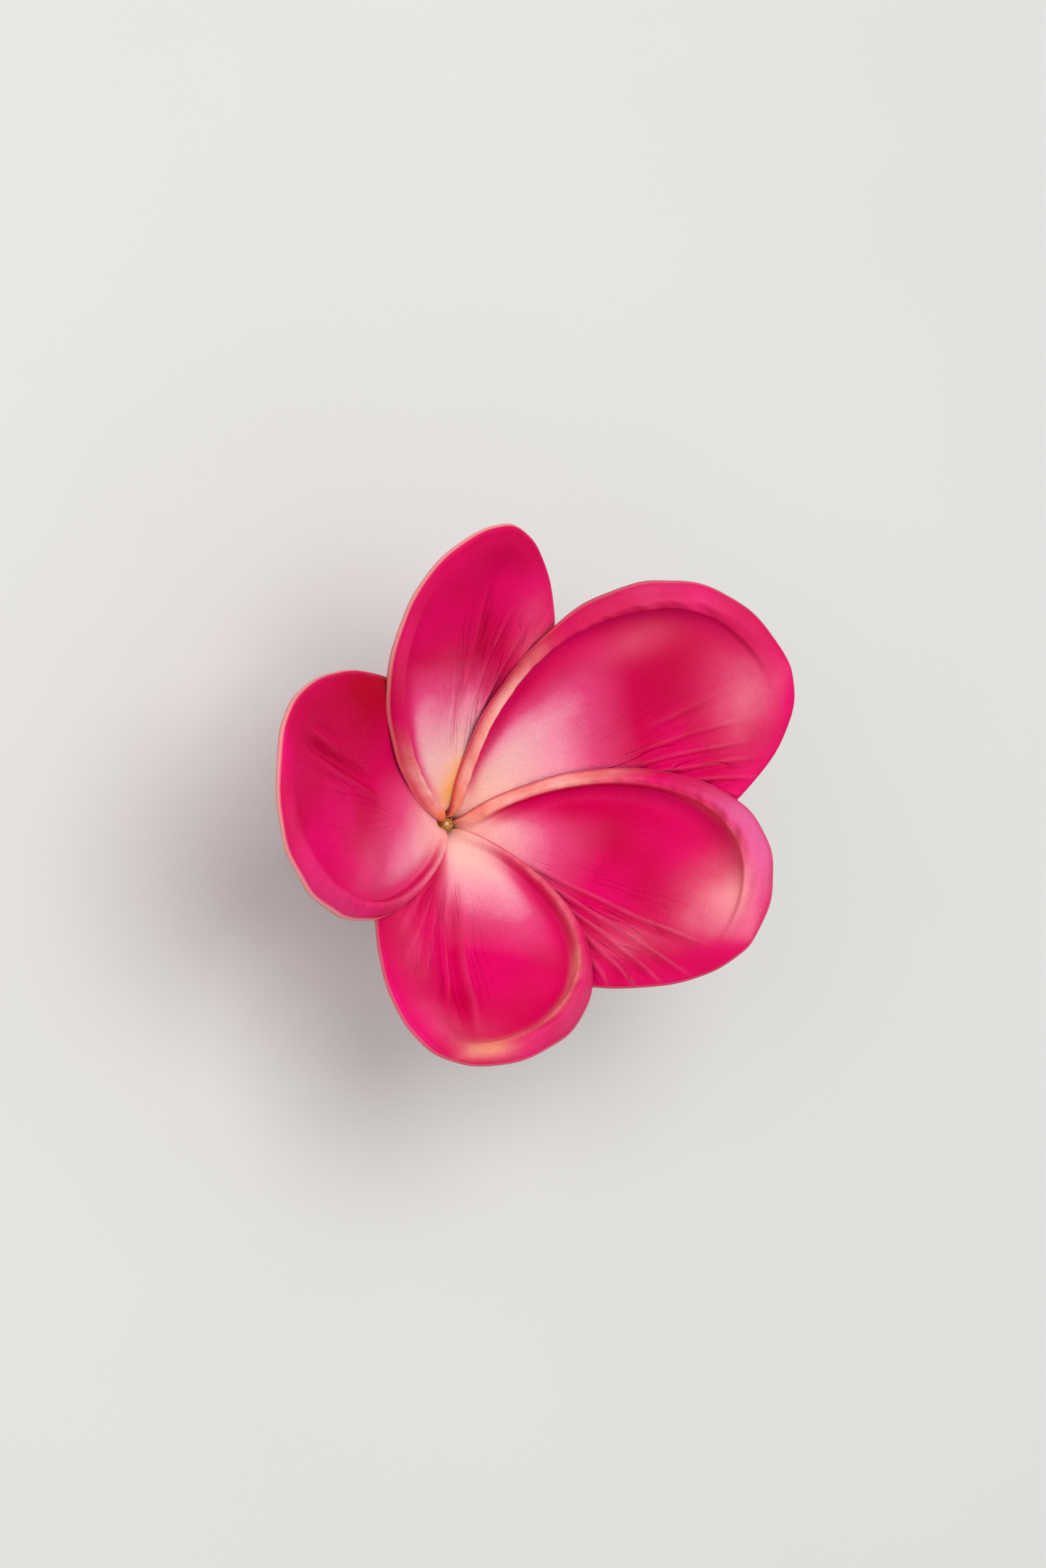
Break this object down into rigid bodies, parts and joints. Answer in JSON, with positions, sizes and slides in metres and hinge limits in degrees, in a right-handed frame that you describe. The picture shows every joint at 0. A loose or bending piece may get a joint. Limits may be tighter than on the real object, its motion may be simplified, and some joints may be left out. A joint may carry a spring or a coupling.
{
  "type": "flower hair clip",
  "caption": "Foam frangipani flower with overlapping pinwheel petals, glued through a cup and felt disc to a sprung steel alligator hair clip.",
  "frame": {"origin": "on the flat underside of the lower jaw, straight below the flower's throat", "axes": "+Z out of the flower along its own axis, +X along the clip from its jaw tips to its levers, +Y along the hinge pin"},
  "size_m": [0.0797, 0.0726, 0.0575],
  "materials": {
    "petal_foam": "matte-satin moulded foam, magenta with pale pink airbrushed bases",
    "cup_foam": "matte moulded foam plastic",
    "amber_plastic": "glossy translucent amber",
    "hot_glue": "milky translucent hot-melt glue",
    "felt": "pressed wool-blend felt",
    "nickel_steel": "bright nickel-plated pressed steel with light handling scratches",
    "spring_steel": "drawn spring wire"
  },
  "bodies": {
    "lower_clip": {"lower_jaw": "nickel_steel", "hinge_pin": "nickel_steel", "torsion_spring": "spring_steel"},
    "flower_and_upper_jaw": {"upper_jaw": "nickel_steel", "felt_disc": "felt", "glue_pad": "hot_glue", "flower_cup": "cup_foam", "throat_peg": "amber_plastic", "petal_upper_right": "petal_foam", "petal_top": "petal_foam", "petal_left": "petal_foam", "petal_bottom": "petal_foam", "petal_lower_right": "petal_foam"}
  },
  "joints": [
    {"name": "clip_hinge", "type": "hinge", "parent": "lower_clip", "child": "flower_and_upper_jaw", "pos_m": [0.016, 0, 0.0034], "axis": [0, 1, 0], "range_deg": [0, 34], "stiffness_Nm_per_rad": 0.067, "springref_deg": -51.57, "deforming": ["torsion_spring"]}
  ]
}
